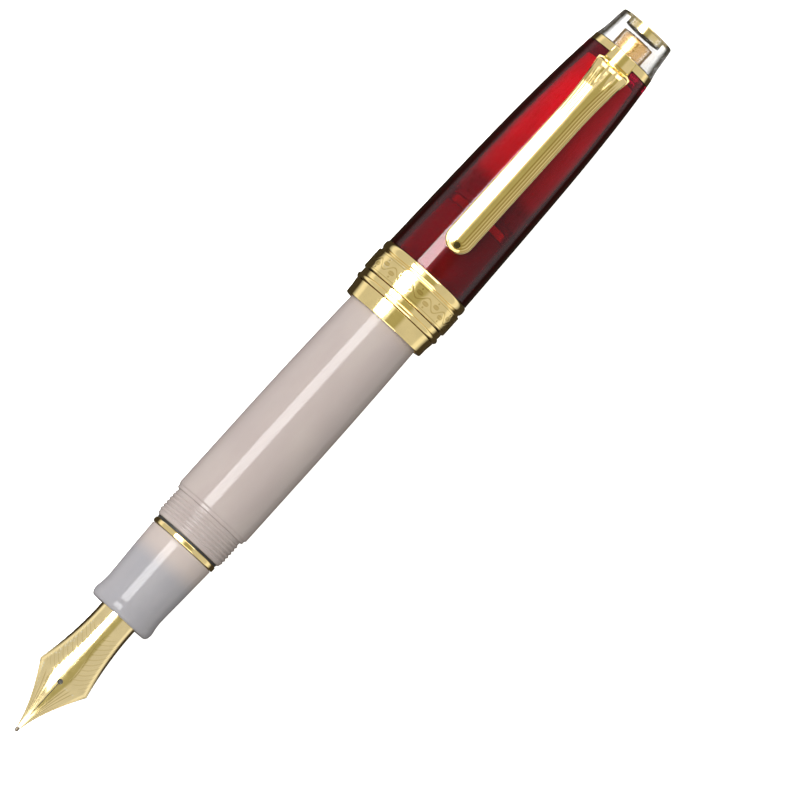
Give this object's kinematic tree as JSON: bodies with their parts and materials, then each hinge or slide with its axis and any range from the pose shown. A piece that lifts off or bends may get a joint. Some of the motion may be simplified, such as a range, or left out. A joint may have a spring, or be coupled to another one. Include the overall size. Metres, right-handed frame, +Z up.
{
  "type": "fountain pen",
  "caption": "Fountain pen with its cap posted on the barrel, a gold nib, gold rings and a sprung pocket clip; fills by a screw converter.",
  "frame": {"origin": "under the middle of the posted pen, on the surface that the cap's wide band rests on", "axes": "+X along the pen from the nib to the finial, +Z up through the clip, +Y across"},
  "size_m": [0.1392, 0.0156, 0.0171],
  "materials": {
    "red_resin": "polished translucent",
    "red_liner": "satin",
    "gold_trim": "polished gold plate",
    "clear_resin": "polished clear",
    "rose_grey_resin": "polished",
    "black_rubber": "matt",
    "smoky_resin": "polished translucent",
    "nib_gold": "polished gold",
    "hard_metal": "polished",
    "black_plastic": "satin",
    "steel": "polished"
  },
  "bodies": {
    "barrel": {"barrel": "rose_grey_resin", "tail_ring": "gold_trim", "tail_cap": "rose_grey_resin"},
    "cap": {"cap_tube": "red_resin", "inner_cap": "red_liner", "cap_lip_ring": "gold_trim", "cap_thin_band": "gold_trim", "cap_band": "gold_trim", "clip_ring": "gold_trim", "finial": "clear_resin", "finial_medallion": "gold_trim", "finial_stud": "gold_trim"},
    "clip": {"clip": "gold_trim"},
    "washer": {"section_washer": "black_rubber"},
    "ring": {"section_ring": "gold_trim"},
    "section": {"grip_section": "smoky_resin", "section_connector": "rose_grey_resin"},
    "nib_unit": {"nib": "nib_gold", "nib_tipping": "hard_metal", "feed": "black_plastic"},
    "converter": {"converter_mouth": "black_plastic", "converter_tube": "clear_resin", "converter_band": "steel", "converter_bush": "black_plastic"},
    "knob": {"converter_knob": "black_plastic", "converter_spindle": "steel"},
    "piston": {"piston_rod": "clear_resin", "piston_seal": "black_rubber"}
  },
  "joints": [
    {"name": "cap_pull", "type": "slide", "parent": "barrel", "child": "cap", "axis": [1, 0, 0], "range_m": [0, 0.045]},
    {"name": "clip_flex", "type": "hinge", "parent": "cap", "child": "clip", "pos_m": [0.06345, 0, 0.01399], "axis": [0, 1, 0], "range_deg": [0, 4], "stiffness_Nm_per_rad": 0.5, "springref_deg": -1.15},
    {"name": "section_draw", "type": "slide", "parent": "barrel", "child": "washer", "axis": [-1, 0, 0], "range_m": [0, 0.062]},
    {"name": "section_advance", "type": "slide", "parent": "washer", "child": "ring", "axis": [-1, 0, 0], "range_m": [0, 0.0064]},
    {"name": "section_turn", "type": "hinge", "parent": "ring", "child": "section", "pos_m": [-0.03955, 0, 0.00779], "axis": [-1, 0, 0], "range_deg": [0, 2881]},
    {"name": "nib_pull", "type": "slide", "parent": "section", "child": "nib_unit", "axis": [-1, 0, 0], "range_m": [0, 0.01]},
    {"name": "converter_pull", "type": "slide", "parent": "section", "child": "converter", "axis": [1, 0, 0], "range_m": [0, 0.0062]},
    {"name": "knob_turn", "type": "hinge", "parent": "converter", "child": "knob", "pos_m": [0.01945, 0, 0.00779], "axis": [1, 0, 0], "range_deg": [0, 1801]},
    {"name": "piston_travel", "type": "slide", "parent": "converter", "child": "piston", "axis": [1, 0, 0], "range_m": [0, 0.017]}
  ],
  "couplings": [
    {"joint": "section_turn", "follows": "section_advance", "rad_per_m": 7854},
    {"joint": "knob_turn", "follows": "piston_travel", "rad_per_m": 1848}
  ]
}
